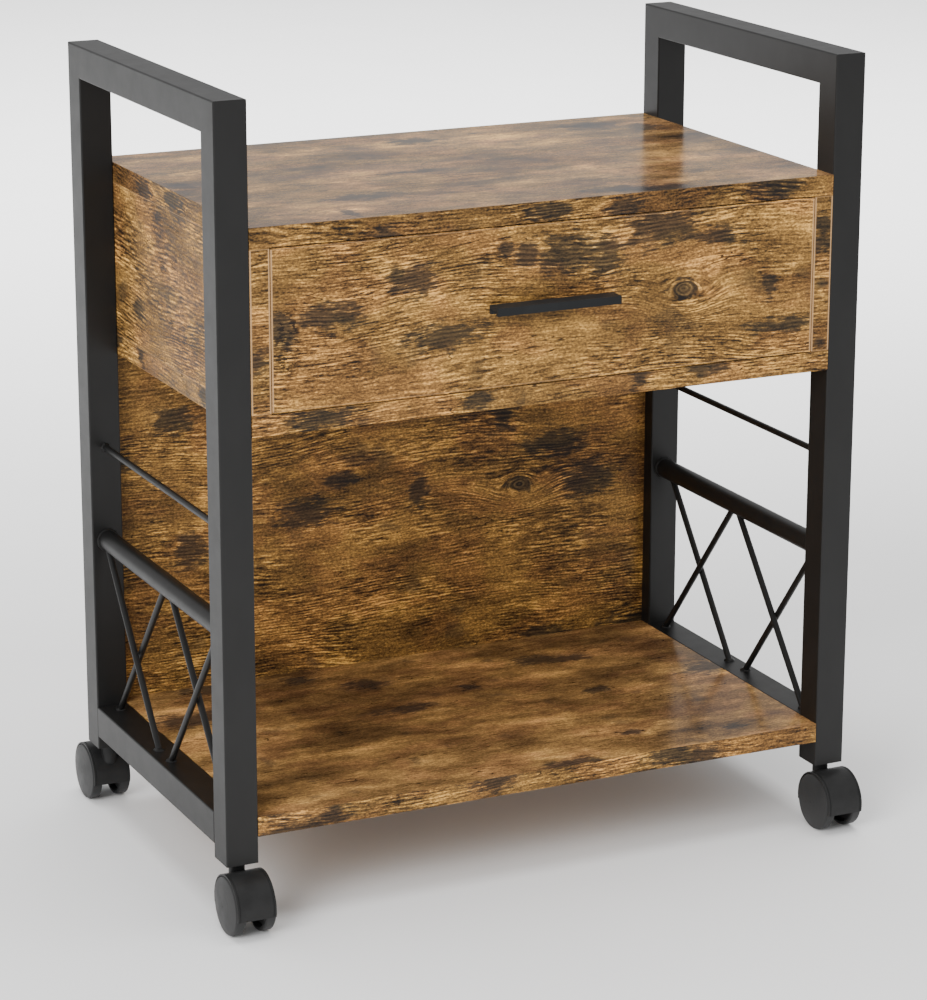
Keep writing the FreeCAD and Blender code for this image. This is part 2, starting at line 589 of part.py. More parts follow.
FLANGE_X = f"({CASE_X} - slide_deep)"
ROLLER_X = f"({BOX_X} + sheet + 2.1)"
FRONT_ROLLER_Z = "(lip_low - roller_gap - roller_rad)"
REAR_ROLLER_Z = "(slide_low + sheet + roller_gap + roller_rad)"
case_slides = []
drawer_slides = []
front_rollers = []
rear_rollers = []
for side, s in SIDES.items():
    y_channel = ("-channel_front", "slide_back")
    web_x = span(s, f"{CASE_X} - sheet", CASE_X)
    flange_x = span(s, FLANGE_X, CASE_X)
    pin_at = (signed(s, f"{CASE_X} - sheet / 2"), "-front_roller_at", FRONT_ROLLER_Z)
    pin_length = f"{CASE_X} - sheet / 2 - {ROLLER_X} + 0.5"
    case_slides.append(fuse(f"{side}_case_slide", [
        box(f"{side}_web", web_x, ("-slide_front", "slide_back"), ("slide_low", "slide_high")),
        box(f"{side}_roller_plate", web_x, ("-slide_front", "-channel_front"), ("slide_low", "slide_high + 3")),
        box(f"{side}_low_flange", flange_x, y_channel, ("slide_low", "slide_low + sheet")),
        box(f"{side}_high_flange", flange_x, y_channel, ("slide_high - sheet", "slide_high")),
        rod(f"{side}_front_pin", "pin_rad", pin_length, pin_at, V(-s, 0, 0)),
        rod(f"{side}_front_pin_head", "pin_head_rad", "pin_head_thick",
            (signed(s, f"{ROLLER_X} - 0.5"), pin_at[1], pin_at[2]), V(-s, 0, 0))]))
    front_rollers.append(cut(f"{side}_front_roller", rod(
        f"{side}_front_roller_blank", "roller_rad", "roller_wide",
        (signed(s, ROLLER_X), "-front_roller_at", FRONT_ROLLER_Z), V(s, 0, 0)), [rod(
            f"{side}_front_roller_bore", "pin_rad + running", "roller_wide",
            (signed(s, ROLLER_X), "-front_roller_at", FRONT_ROLLER_Z), V(s, 0, 0))]))

    y_drawer = (f"{FRONT_REAR} + 0.5", "ear_rear")
    inner_web_x = span(s, BOX_X, f"{BOX_X} + sheet")
    inner_pin_at = (signed(s, f"{BOX_X} + sheet / 2"), "rear_roller_at", REAR_ROLLER_Z)
    inner_pin_length = f"{ROLLER_X} - {BOX_X} - sheet / 2 + roller_wide + 0.4"
    drawer_slides.append(fuse(f"{side}_drawer_slide", [
        box(f"{side}_inner_web", inner_web_x, y_drawer, ("drawer_low - sheet", "lip_low + sheet")),
        box(f"{side}_under_flange", span(s, f"{BOX_X} - drawer_wall + 1", f"{BOX_X} + sheet"), y_drawer,
            ("drawer_low - sheet", "drawer_low")),
        box(f"{side}_lip", span(s, BOX_X, f"{BOX_X} + sheet + lip_wide"), y_drawer, ("lip_low", "lip_low + sheet")),
        box(f"{side}_ear", inner_web_x, ("ear_front", "ear_rear"), ("ear_low", "lip_low + sheet")),
        rod(f"{side}_rear_pin", "pin_rad", inner_pin_length, inner_pin_at, V(s, 0, 0)),
        rod(f"{side}_rear_pin_head", "pin_head_rad", "pin_head_thick",
            (signed(s, f"{ROLLER_X} + roller_wide + 0.4"), inner_pin_at[1], inner_pin_at[2]), V(s, 0, 0))]))
    rear_rollers.append(cut(f"{side}_rear_roller", rod(
        f"{side}_rear_roller_blank", "roller_rad", "roller_wide",
        (signed(s, ROLLER_X), "rear_roller_at", REAR_ROLLER_Z), V(s, 0, 0)), [rod(
            f"{side}_rear_roller_bore", "pin_rad + running", "roller_wide",
            (signed(s, ROLLER_X), "rear_roller_at", REAR_ROLLER_Z), V(s, 0, 0))]))
node("case_slides", cut("case_slides", group("case_slide_pair", case_slides), [short_screws]))
node("drawer_slides", cut("drawer_slides", group("drawer_slide_pair", drawer_slides), [drawer_screws]))
node("front_slide_rollers", group("front_slide_rollers", front_rollers))
node("rear_slide_rollers", group("rear_slide_rollers", rear_rollers))

# ---- casters: own origin on the floor under the stem, the wheels trail towards own -Y

node("caster_stems", copies("caster_stems", caster_stem, [
    ((signed(s, LEG_X), signed(e, LEG_Y), "0"), UP) for s, e in leg_corners]))


def caster_hood(name):
    body = doc.addObject("PartDesign::Body", name)
    wheel_axis = ("-trail", "axle_high")
    boss = sketch(body, f"{name}_boss", "XY_Plane", circles=[("0", "0", "boss_rad")], offset="boss_low")
    extrude(body, "Pad", f"{name}_boss_pad", boss, "boss_high - boss_low")
    foot = value("boss_low")
    round_edges(body, f"{name}_boss_foot", "boss_round", lambda edge: hasattr(edge.Curve, "Radius")
                and abs(edge.BoundBox.ZMax - foot) < 0.01)
    shell = sketch(body, f"{name}_shell", "YZ_Plane", circles=[(*wheel_axis, "hood_rad")])
    extrude(body, "Pad", f"{name}_drum", shell, "2 * hood_half", symmetric=True)
    for s in SIDES.values():
        ring = [(*wheel_axis, "hood_rad + 1"), (*wheel_axis, "hood_rad - hood_groove_deep")]
        groove = sketch(body, f"{name}_groove_{s + 1}", "YZ_Plane", circles=ring,
                        offset=signed(s, "hood_half - hood_lip_wide"))
        extrude(body, "Pocket", f"{name}_groove_cut_{s + 1}", groove, "hood_groove_wide", reverse=s < 0)
        well = sketch(body, f"{name}_well_{s + 1}", "YZ_Plane", circles=[(*wheel_axis, "hood_inner")],
                      offset=signed(s, "hood_half"))
        extrude(body, "Pocket", f"{name}_well_cut_{s + 1}", well, "hood_half - web_half", reverse=s < 0)
    skirt = rectangle("-trail - 2 * hood_rad", "2 * hood_rad", "-10", "hood_cut")
    under = sketch(body, f"{name}_under", "YZ_Plane", polygons=[skirt])
    extrude(body, "Pocket", f"{name}_under_cut", under, "4 * hood_half", symmetric=True)
    hub = sketch(body, f"{name}_hub", "YZ_Plane", circles=[(*wheel_axis, "axle_rad")])
    extrude(body, "Pocket", f"{name}_hub_cut", hub, "4 * hood_half", symmetric=True)
    socket = sketch(body, f"{name}_socket", "XY_Plane", circles=[("0", "0", "stem_pin_rad + running")],
                    offset="boss_high")
    extrude(body, "Pocket", f"{name}_socket_cut", socket, "boss_high - stem_bore_low")
    return body


def caster_wheel(name):
    # half outline in (distance from the caster's middle, radius), turned about the axle
    body = doc.addObject("PartDesign::Body", name)
    outline = [("wheel_in", "axle_rad + running"), ("wheel_in", "hub_rad"), ("dish_deep", "hub_rad"),
               ("dish_deep", "dish_rad"), ("wheel_in", "dish_rad + 1"), ("wheel_in", "axle_high"),
               ("wheel_out", "axle_high"), ("wheel_out + 0.1", "axle_high - 1.6")]
    rise = "(wheel_dome - wheel_out - 0.1)"
    outline += [(f"wheel_dome - {rise} * {share} ^ 2", f"(axle_high - 1.6) * {share}")
                for share in (0.9, 0.78, 0.62, 0.42, 0.2)]
    outline += [("wheel_dome", "0"), ("wheel_bore_end", "0"), ("wheel_bore_end", "axle_rad + running")]
    half = sketch(body, f"{name}_outline", "XY_Plane", polygons=[outline])
    revolve(body, f"{name}_turn", half, "H_Axis")
    radius = value("axle_high")
    round_edges(body, f"{name}_tread", "tread_round", lambda edge: hasattr(edge.Curve, "Radius")
                and abs(edge.Curve.Radius - radius) < 0.01 and edge.Length > radius)
    return body


for end, e in ENDS.items():
    for side, s in SIDES.items():
        name = f"{end}_{side}"
        turn = FreeCAD.Rotation(UP, 0 if e < 0 else 180)
        stem_at = (signed(s, LEG_X), signed(e, LEG_Y), "0")
        axle_at = (signed(s, LEG_X), signed(e, f"{LEG_Y} + trail"), "axle_high")
        node(f"{name}_hood", place(caster_hood(f"{name}_hood"), stem_at, turn))
        node(f"{name}_axle", rod(f"{name}_axle", "axle_rad", "2 * axle_half",
                                 (f"{stem_at[0]} - axle_half", *axle_at[1:]), V(1, 0, 0)))
        for wheel, angle in (("wheel_a", 180), ("wheel_b", 0)):
            body = caster_wheel(f"{name}_{wheel}")
            node(f"{name}_{wheel}", place(body, axle_at, FreeCAD.Rotation(UP, angle)))

# ---- check and write

doc.recompute()
for item in doc.Objects:
    if {"Invalid", "Error"} & set(item.State):
        raise RuntimeError(f"{item.Name} failed: {item.State}")
for name, item in NODES.items():
    shape = item.Shape
    if shape.isNull() or not shape.isValid() or not shape.Solids:
        raise RuntimeError(f"{name} has no valid shape")

os.makedirs("parts", exist_ok=True)
for name, item in NODES.items():
    item.Shape.exportStep(f"parts/{name}.step")
print(len(NODES), "sub-parts written")
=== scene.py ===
import json
import math
import random
import bpy
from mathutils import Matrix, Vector


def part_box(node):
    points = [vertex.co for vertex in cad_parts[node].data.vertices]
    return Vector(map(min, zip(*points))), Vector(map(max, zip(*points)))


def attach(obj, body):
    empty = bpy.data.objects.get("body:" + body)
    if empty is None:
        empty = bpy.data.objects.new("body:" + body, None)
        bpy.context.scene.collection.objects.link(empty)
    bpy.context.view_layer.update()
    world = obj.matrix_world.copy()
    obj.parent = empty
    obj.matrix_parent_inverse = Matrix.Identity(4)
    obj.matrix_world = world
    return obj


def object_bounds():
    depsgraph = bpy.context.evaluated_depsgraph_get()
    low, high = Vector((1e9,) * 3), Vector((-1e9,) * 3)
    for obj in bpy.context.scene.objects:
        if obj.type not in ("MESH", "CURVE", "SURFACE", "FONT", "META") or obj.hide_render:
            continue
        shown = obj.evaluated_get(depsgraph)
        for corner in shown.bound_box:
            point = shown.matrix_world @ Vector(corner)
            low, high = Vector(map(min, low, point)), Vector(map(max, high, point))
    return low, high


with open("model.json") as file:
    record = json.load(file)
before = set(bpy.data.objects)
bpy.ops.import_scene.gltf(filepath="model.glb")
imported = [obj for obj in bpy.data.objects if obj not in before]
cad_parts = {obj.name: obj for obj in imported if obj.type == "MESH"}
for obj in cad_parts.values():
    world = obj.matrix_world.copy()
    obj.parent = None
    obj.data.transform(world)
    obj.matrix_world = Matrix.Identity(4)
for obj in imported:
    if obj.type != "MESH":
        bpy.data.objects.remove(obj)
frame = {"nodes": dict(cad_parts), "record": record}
cad_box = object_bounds()
nodes = frame["nodes"]
MM = 0.001

# ---------------------------------------------------------------- camera, lights, floor

camera = bpy.data.objects.new("camera", bpy.data.cameras.new("camera"))
camera.data.sensor_width = 36.0
camera.data.lens = 124.2                                        # mm
camera.location = (-1.10622, -2.32688, 1.00131)                 # metres
camera.rotation_euler = (1.289468, -0.00162, -0.443612)         # radians
bpy.context.scene.collection.objects.link(camera)
bpy.context.scene.camera = camera


def soft_light(name, place, target, size, energy):
    """A rectangular lamp at one place, aimed at another; places and sizes in metres, energy in watts."""
    data = bpy.data.lights.new(name, "AREA")
    data.shape = "RECTANGLE"
    data.size, data.size_y = size
    data.energy = energy
    lamp = bpy.data.objects.new(name, data)
    lamp.location = place
    lamp.rotation_euler = (Vector(target) - Vector(place)).to_track_quat("-Z", "Y").to_euler()
    lamp.visible_glossy = False     # a diffused lamp leaves no hard glare on the satin boards
    bpy.context.scene.collection.objects.link(lamp)


soft_light("key", (-2.9, -1.9, 2.1), (0, 0, 0.3), (2.0, 2.0), 140)
soft_light("overhead", (0.2, 0.2, 3.2), (0.2, 0.2, 0), (2.6, 2.6), 100)
soft_light("backdrop", (1.0, 1.9, 2.8), (2.2, 6.5, 0), (3.6, 2.0), 420)

world = bpy.data.worlds.new("studio")
world.use_nodes = True
world.node_tree.nodes["Background"].inputs["Color"].default_value = (1, 1, 1, 1)
world.node_tree.nodes["Background"].inputs["Strength"].default_value = 0.78
bpy.context.scene.world = world

FLOOR = 9           # half the floor's width, metres
floor_mesh = bpy.data.meshes.new("floor")
floor_corners = [(-FLOOR, -FLOOR, 0), (FLOOR, -FLOOR, 0), (FLOOR, FLOOR, 0), (-FLOOR, FLOOR, 0)]
floor_mesh.from_pydata(floor_corners, [], [(0, 1, 2, 3)])
floor = bpy.data.objects.new("floor", floor_mesh)
floor.location.z = cad_box[0].z
bpy.context.scene.collection.objects.link(floor)


# ---------------------------------------------------------------- shader building

class Shader:
    """A material with one Principled surface, and short calls for the nodes that feed it.
    where is the place on the object in millimetres."""

    def __init__(self, name):
        self.material = bpy.data.materials.new(name)
        self.material.use_nodes = True
        self.tree = self.material.node_tree
        self.surface = next(n for n in self.tree.nodes if n.type == "BSDF_PRINCIPLED")
        where = self.node("ShaderNodeTexCoord").outputs["Object"]
        self.where = self.vector("MULTIPLY", where, (1 / MM, 1 / MM, 1 / MM))

    def node(self, kind, **settings):
        made = self.tree.nodes.new(kind)
        for key, setting in settings.items():
            setattr(made, key, setting)
        return made

    def feed(self, socket, source):
        if isinstance(source, bpy.types.NodeSocket):
            self.tree.links.new(source, socket)
        else:
            socket.default_value = source

    def set(self, **values):
        for key, source in values.items():
            self.feed(self.surface.inputs[key.replace("_", " ")], source)
        return self

    def math(self, operation, *sources):
        made = self.node("ShaderNodeMath", operation=operation)
        for socket, source in zip(made.inputs, sources):
            self.feed(socket, source)
        return made.outputs[0]

    def total(self, first, *others):
        for source in others:
            first = self.math("ADD", first, source)
        return first

    def blend(self, share, first, second):
        made = self.node("ShaderNodeMix", data_type="FLOAT")
        for socket, source in zip(made.inputs, (share, None, first, second)):
            if source is not None:
                self.feed(socket, source)
        return made.outputs[0]

    def vector(self, operation, *sources):
        made = self.node("ShaderNodeVectorMath", operation=operation)
        for socket, source in zip(made.inputs, sources):
            self.feed(socket, source)
        return made.outputs["Value" if operation == "LENGTH" else "Vector"]

    def axes(self, source):
        made = self.node("ShaderNodeSeparateXYZ")
        self.feed(made.inputs[0], source)
        return made.outputs

    def join(self, x, y, z):
        made = self.node("ShaderNodeCombineXYZ")
        for socket, source in zip(made.inputs, (x, y, z)):
            self.feed(socket, source)
        return made.outputs[0]

    def noise(self, where, detail=2.0, roughness=0.5, distortion=0.0):
        made = self.node("ShaderNodeTexNoise")
        self.feed(made.inputs["Vector"], where)
        made.inputs["Scale"].default_value = 1.0
        made.inputs["Detail"].default_value = detail
        made.inputs["Roughness"].default_value = roughness
        made.inputs["Distortion"].default_value = distortion
        return made.outputs[0]

    def step(self, source, low, high, to_low=0.0, to_high=1.0):
        made = self.node("ShaderNodeMapRange", interpolation_type="SMOOTHSTEP")
        for key, value in (("Value", source), ("From Min", low), ("From Max", high),
                           ("To Min", to_low), ("To Max", to_high)):
            self.feed(made.inputs[key], value)
        return made.outputs[0]

    def mix(self, share, first, second, blend="MIX"):
        made = self.node("ShaderNodeMix", data_type="RGBA", blend_type=blend)
        self.feed(made.inputs["Factor"], share)
        self.feed(made.inputs[6], first)
        self.feed(made.inputs[7], second)
        return made.outputs[2]

    def ramp(self, source, *stops):
        made = self.node("ShaderNodeValToRGB")
        self.feed(made.inputs[0], source)
        points = made.color_ramp.elements
        while len(points) < len(stops):
            points.new(0.5)
        for point, (place, colour) in zip(points, stops):
            point.position = place
            point.color = (*colour, 1)
        return made.outputs[0]

    def bump(self, height, distance_mm, strength):
        made = self.node("ShaderNodeBump")
        self.feed(made.inputs["Height"], height)
        made.inputs["Distance"].default_value = distance_mm * MM
        made.inputs["Strength"].default_value = strength
        return made.outputs[0]


def scaled(shader, grain):
    """The place on the object, stretched so that a noise there has grain cycles to a millimetre."""
    return shader.vector("MULTIPLY", shader.where, grain)


# ---------------------------------------------------------------- rustic laminate

# laminate colours: soot and umber in the blotches, then walnut to pale gold in equal ratios
SOOT, UMBER = (0.015, 0.010, 0.007), (0.030, 0.018, 0.008)
WALNUT, GOLD = (0.080, 0.042, 0.014), (0.850, 0.460, 0.110)
UMBER_VALUE, WALNUT_VALUE = 0.08, 0.24      # how light the print is where those two colours stand
SHADES = 5
# pale line along the upright arrises: partly edge band, partly a painted highlight
EDGE_BAND_AND_HIGHLIGHT = (0.50, 0.30, 0.145)
SAW_PITCH = 2.9     # mm between the saw lines printed on the upright faces
BLOTCH_DARK = 0.64  # share of the light that a blotch, a hole and a glow take away or add
HOLE_DARK = 0.78
GLOW_LIFT = 0.20
UPRIGHT_BASE, LEVEL_BASE = 0.53, 0.57       # how light the plain print is on upright and level faces
SOOT_TINT = (0.80, 1.02, 1.55, 1)           # a blotch is greyer
RED_TINT = (1.0, 0.93, 1.0, 1)              # patches are redder
LEVEL_SHEEN_TINT = (1.06, 1.12, 1.45, 1)          # level faces are paler and cooler: a painted sheen

# ranges of half length and half width that the printed marks are drawn from, mm
SPOT_SIZES = (6, 30), (5, 16)
EDGE_SPOT_SIZES = (8, 26), (5, 12)
GLOW_SIZES = (6, 24), (6, 16)
TORN_SIZES = (9, 12), (14, 30)
KNOT_SIZE = (25, 15)
KNOT_PLACE = (0.75, 0.5)    # a knot sits three quarters along its board and halfway across


def scatter(draw, count, along, across, sizes):
    """Random marks on a face, one to each of count equal lengths: middle, half length and half width."""
    stretch = (along[1] - along[0]) / max(count, 1)
    return [(along[0] + (number + draw.random()) * stretch, draw.uniform(*across),
             draw.uniform(*sizes[0]), draw.uniform(*sizes[1])) for number in range(count)]


def laminate_shades():
    """Colour stops from soot to gold."""
    stops = [(0.0, SOOT), (UMBER_VALUE, UMBER)]
    for step in range(SHADES + 1):
        share = step / SHADES
        shade = tuple(dark * (pale / dark) ** share for dark, pale in zip(WALNUT, GOLD))
        stops.append((WALNUT_VALUE + (1 - WALNUT_VALUE) * share, shade))
    return stops


def rustic(node, grain="x", seed=0.0, knots=0, spots=0, glows=0, torn=0, edges=0,
           tone=0.0, blots=1.0, band_and_highlight=0.0):
    """Brown laminate, saw-marked on upright faces and smooth and satin on level ones, which also get a
    paler, cooler painted sheen.
    knots, spots, glows and torn say how many such marks the broad faces have, and edges how many spots
    the narrow front and rear faces have. The places are drawn at random, except the knots'.
    The last argument is the share of the pale line along the upright arrises, partly edge band and partly
    painted highlight."""
    low, high = (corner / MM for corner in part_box(node))
    size = high - low
    lengthwise = 0 if grain == "x" else 1
    upwards = 1 if size.z < size.y and size.z < size.x else 2
    length = (low[lengthwise], high[lengthwise])
    height = (low[upwards], high[upwards])
    draw = random.Random(int(seed))
    knot_along = length[0] + KNOT_PLACE[0] * size[lengthwise]
    knot_across = height[0] + KNOT_PLACE[1] * size[upwards]
    knots = [(knot_along, knot_across, *KNOT_SIZE)] * knots
    spots = scatter(draw, spots, length, height, SPOT_SIZES)
    spots += scatter(draw, edges, (low.x, high.x), (low.z, high.z), EDGE_SPOT_SIZES)
    glows = scatter(draw, glows, length, height, GLOW_SIZES)
    torn = scatter(draw, torn, length, height, TORN_SIZES)
    shader = Shader(f"rustic_{node}")
    x, y, z = shader.axes(shader.where)
    normal = shader.node("ShaderNodeNewGeometry").outputs["True Normal"]
    facing = [shader.step(shader.math("ABSOLUTE", side), 0.69, 0.71) for side in shader.axes(normal)]
    level = facing[2]

    # along the grain and across it, on whichever face this is
    main, other = (x, y) if grain == "x" else (y, x)
    turned = facing[0] if grain == "x" else facing[1]
    along = shader.blend(turned, main, other)
    across = shader.blend(level, z, other)
    spot_at = shader.join(along, across, 0.0)

    def pattern(pitch_along, pitch_across, shift, detail=2.0, roughness=0.5, line=None):
        sideways = across if line is None else line
        at = shader.join(shader.math("DIVIDE", along, pitch_along),
                         shader.math("DIVIDE", sideways, pitch_across), seed + shift)
        return shader.noise(at, detail, roughness)

    def swing(source, reach):
        """A noise brought to zero in the middle, as wide as reach says."""
        return shader.math("MULTIPLY", shader.math("SUBTRACT", source, 0.5), reach)

    def oval(spot):
        """0 at the middle of a spot, 1 on its outline."""
        middle_along, middle_across, half_long, half_wide = spot
        at = shader.vector("MULTIPLY_ADD", spot_at, (1 / half_long, 1 / half_wide, 0),
                           (-middle_along / half_long, -middle_across / half_wide, 0))
        return shader.vector("LENGTH", at)

    # grain lines: contours of a slope that bulges round each knot
    slope = shader.total(across, swing(pattern(190, 90, 1.7, 1.0), 34.0),
                         swing(pattern(34, 13, 4.1, 1.0), 2.2))
    for knot in knots:
        far = oval(knot)
        near = shader.math("EXPONENT", shader.math("MULTIPLY", shader.math("MULTIPLY", far, far), -0.9))
        ring = shader.total(shader.math("MULTIPLY", far, 1.35 * knot[3]), knot[1])
        slope = shader.blend(near, slope, ring)
    turns = shader.total(shader.math("MULTIPLY", slope, 2 * math.pi / SAW_PITCH),
                         swing(pattern(30, 9, 7.7, 2.0, 0.6, line=slope), 9.0))
    wave = shader.math("SINE", turns)
    dash = pattern(12, 1.5, 9.3, 2.0, 0.65, line=slope)
    speck = pattern(2.4, 1.3, 15.9, 2.0, 0.7)
    patch = pattern(64, 36, 31.1, 3.0, 0.6)
    streak = pattern(120, 10, 34.3, 3.0, 0.6, line=slope)
    strength = shader.step(pattern(60, 40, 21.3, 2.0), 0.36, 0.64, 0.35, 1.15)
    lines = shader.total(shader.math("MULTIPLY", wave, 0.14), swing(dash, 1.9))
    sawn = shader.total(swing(patch, 1.05), swing(streak, 0.6), swing(speck, 1.2),
                        shader.math("MULTIPLY", lines, strength), UPRIGHT_BASE + tone)
    smooth = shader.total(swing(patch, 1.0), swing(pattern(150, 70, 25.1, 2.0), 1.0), swing(streak, 0.35),
                          swing(pattern(30, 14, 12.9, 4.0, 0.65), 0.65),
                          swing(pattern(8, 2.4, 18.3, 3.0, 0.65), 0.55), swing(speck, 0.75),
                          LEVEL_BASE + tone)

    # soot-dark blotches, cut off along the saw's strokes, with the lines showing through
    wobble = shader.total(swing(pattern(15, 8, 51.1, 4.0, 0.7), 3.0), swing(dash, 2.0))
    bars = shader.step(pattern(15, 170, 47.3, 1.0), 0.44, 0.50, 0.25, 1.0)
    cloud = shader.total(pattern(40, 27, 43.9, 2.0, 0.5), swing(dash, 0.14))
    blotch = shader.math("MULTIPLY", shader.step(cloud, 0.60, 0.69), shader.math("MULTIPLY", bars, blots))
    for spot in spots:
        blotch = shader.math("MAXIMUM", blotch, shader.step(shader.total(oval(spot), wobble), 1.35, 0.55))
    for knot in knots:
        heart = oval((knot[0], knot[1], knot[2] * 0.46, knot[3] * 0.46))
        soot = shader.step(shader.total(heart, wobble), 1.3, 0.7, 0.0, 0.9)
        blotch = shader.math("MAXIMUM", blotch, soot)
    value = shader.blend(level, sawn, smooth)
    if glows:
        glow = 0.0
        for spot in glows:
            glow = shader.math("MAXIMUM", glow, shader.step(shader.total(oval(spot), wobble), 1.25, 0.6))
        value = shader.total(value, shader.math("MULTIPLY", glow, GLOW_LIFT))
    lined = shader.math("ADD", BLOTCH_DARK, shader.math("MULTIPLY", wave, -0.08))
    stain = shader.math("MULTIPLY", blotch, lined)
    value = shader.math("MULTIPLY", value, shader.math("SUBTRACT", 1.0, stain))

    # hair cracks along the grain, short pores, and rows of torn-out fibres
    contour = shader.math("ABSOLUTE", swing(pattern(60, 7, 61.7, 2.0, 0.55, line=slope), 1.0))
    crack = shader.math("MULTIPLY", shader.step(contour, 0.012, 0.004),
                        shader.step(pattern(50, 25, 67.1), 0.52, 0.60))
    pores = shader.step(pattern(2.3, 1.0, 71.9, 1.0), 0.70, 0.78, 0.0, 0.8)
    hole = shader.math("MAXIMUM", crack, pores)
    for spot in torn:
        ragged = shader.step(pattern(6.5, 2.6, 77.3, 2.0, 0.6, line=slope), 0.53, 0.58)
        fibres = shader.math("MULTIPLY", ragged, shader.step(oval(spot), 1.15, 0.85))
        hole = shader.math("MAXIMUM", hole, fibres)
    kept = shader.math("SUBTRACT", 1.0, shader.math("MULTIPLY", hole, HOLE_DARK))
    value = shader.math("MULTIPLY", value, kept)
    colour = shader.ramp(value, *laminate_shades())
    grey = shader.mix(1.0, colour, SOOT_TINT, "MULTIPLY")
    colour = shader.mix(shader.math("MULTIPLY", blotch, 0.75), colour, grey)
    reddish = shader.mix(1.0, colour, RED_TINT, "MULTIPLY")
    colour = shader.mix(shader.step(pattern(50, 30, 81.3, 2.0), 0.45, 0.60), colour, reddish)
    # painted sheen: level faces made paler and cooler
    pale = shader.mix(1.0, colour, LEVEL_SHEEN_TINT, "MULTIPLY")
    colour = shader.mix(level, colour, pale)

    # the pale line along each upright arris, partly the edge band's colour and partly a painted highlight:
    # second smallest distance to the board's faces
    depth = [shader.math("MINIMUM", shader.math("SUBTRACT", axis, near), shader.math("SUBTRACT", far, axis))
             for axis, near, far in zip((x, y, z), low, high)]
    side = shader.math("MINIMUM", depth[0], depth[1])
    second = shader.math("MAXIMUM", side, shader.math("MINIMUM", shader.math("MAXIMUM", depth[0], depth[1]),
                                                      depth[2]))
    upright = shader.math("MULTIPLY", shader.step(side, 1.25, 0.95),
                          shader.step(depth[2], 0.6, 1.2, 0.0, band_and_highlight))
    arris = shader.math("MULTIPLY", shader.step(second, 1.35, 0.95), upright)
    colour = shader.mix(arris, colour, (*EDGE_BAND_AND_HIGHLIGHT, 1))

    relief = shader.total(dash, shader.math("MULTIPLY", wave, 0.12), shader.math("MULTIPLY", hole, -0.8))
    relief = shader.blend(level, relief, shader.math("MULTIPLY", relief, 0.02))
    gloss = shader.blend(level, shader.step(dash, 0.40, 0.60, 0.40, 0.52),
                         shader.step(patch, 0.4, 0.6, 0.17, 0.23))
    shader.set(Base_Color=colour, Roughness=gloss, Specular_IOR_Level=shader.blend(level, 0.13, 0.07),
               Normal=shader.bump(relief, 0.16, 0.5))
    return shader.material


# ---------------------------------------------------------------- plain materials

def powder_coat(name, colour, gloss, shine):
    """Satin powder coat: fine orange peel with lighter flecks on its raised points, and faint cloudiness.
    """
    shader = Shader(name)
    peel = shader.noise(scaled(shader, (1.3, 1.3, 1.3)), 3.0, 0.6)
    cloud = shader.noise(scaled(shader, (0.03, 0.03, 0.018)), 3.0, 0.6)
    rub = shader.noise(scaled(shader, (0.06, 0.06, 0.06)), 4.0, 0.65)
    base = shader.mix(shader.step(cloud, 0.35, 0.65), (*colour, 1), (*[c * 1.18 for c in colour], 1))
    # lighter flecks where the peel stands highest
    base = shader.mix(shader.step(peel, 0.56, 0.72, 0.0, 0.25), base, (*[c * 1.6 for c in colour], 1))
    rough = shader.math("ADD", gloss, shader.math("MULTIPLY", shader.math("SUBTRACT", rub, 0.5), 0.12))
    shader.set(Base_Color=base, Roughness=rough, Specular_IOR_Level=shine,
               Normal=shader.bump(peel, 0.05, 0.35))
    return shader.material


def moulded_plastic(name, colour, gloss, shine):
    """Moulded nylon: spark-eroded texture and slight flow marks."""
    shader = Shader(name)
    grit = shader.noise(scaled(shader, (2.6, 2.6, 2.6)), 3.0, 0.65)
    flow = shader.noise(scaled(shader, (0.09, 0.09, 0.09)), 3.0, 0.6)
    base = shader.mix(shader.step(flow, 0.35, 0.65), (*colour, 1), (*[c * 1.3 for c in colour], 1))
    base = shader.mix(shader.step(grit, 0.5, 0.7, 0.0, 0.3), base, (*[c * 1.7 for c in colour], 1))
    rough = shader.step(flow, 0.3, 0.7, gloss - 0.05, gloss + 0.07)
    shader.set(Base_Color=base, Roughness=rough, Specular_IOR_Level=shine,
               Normal=shader.bump(grit, 0.03, 0.3))
    return shader.material


def plated_metal(name, colour, gloss, grain=(0.5, 0.5, 0.5)):
    """Plated or cast metal: cloudy passivation and fine scratches."""
    shader = Shader(name)
    cloud = shader.noise(scaled(shader, grain), 4.0, 0.6)
    scratch = shader.noise(scaled(shader, (4.0, 0.12, 4.0)), 2.0, 0.6)
    base = shader.mix(shader.step(cloud, 0.35, 0.65), (*colour, 1), (*[c * 0.72 for c in colour], 1))
    rough = shader.math("ADD", shader.step(cloud, 0.3, 0.7, gloss, gloss + 0.15),
                        shader.step(scratch, 0.5, 0.75, 0.0, 0.12))
    shader.set(Base_Color=base, Metallic=1.0, Roughness=rough, Normal=shader.bump(scratch, 0.02, 0.3))
    return shader.material


def plain_board(name, pale, dark, grain):
    """Plain printed board or turned beech: straight grain with small flecks."""
    shader = Shader(name)
    lines = shader.noise(scaled(shader, grain), 3.0, 0.6, 0.4)
    fleck = shader.noise(scaled(shader, tuple(g * 3 for g in grain)), 1.0)
    base = shader.mix(shader.step(lines, 0.35, 0.65), (*pale, 1), (*dark, 1))
    base = shader.mix(shader.step(fleck, 0.62, 0.72, 0.0, 0.5), base, (*[c * 0.6 for c in dark], 1))
    shader.set(Base_Color=base, Roughness=shader.step(lines, 0.3, 0.7, 0.42, 0.56),
               Normal=shader.bump(lines, 0.06, 0.4))
    return shader.material


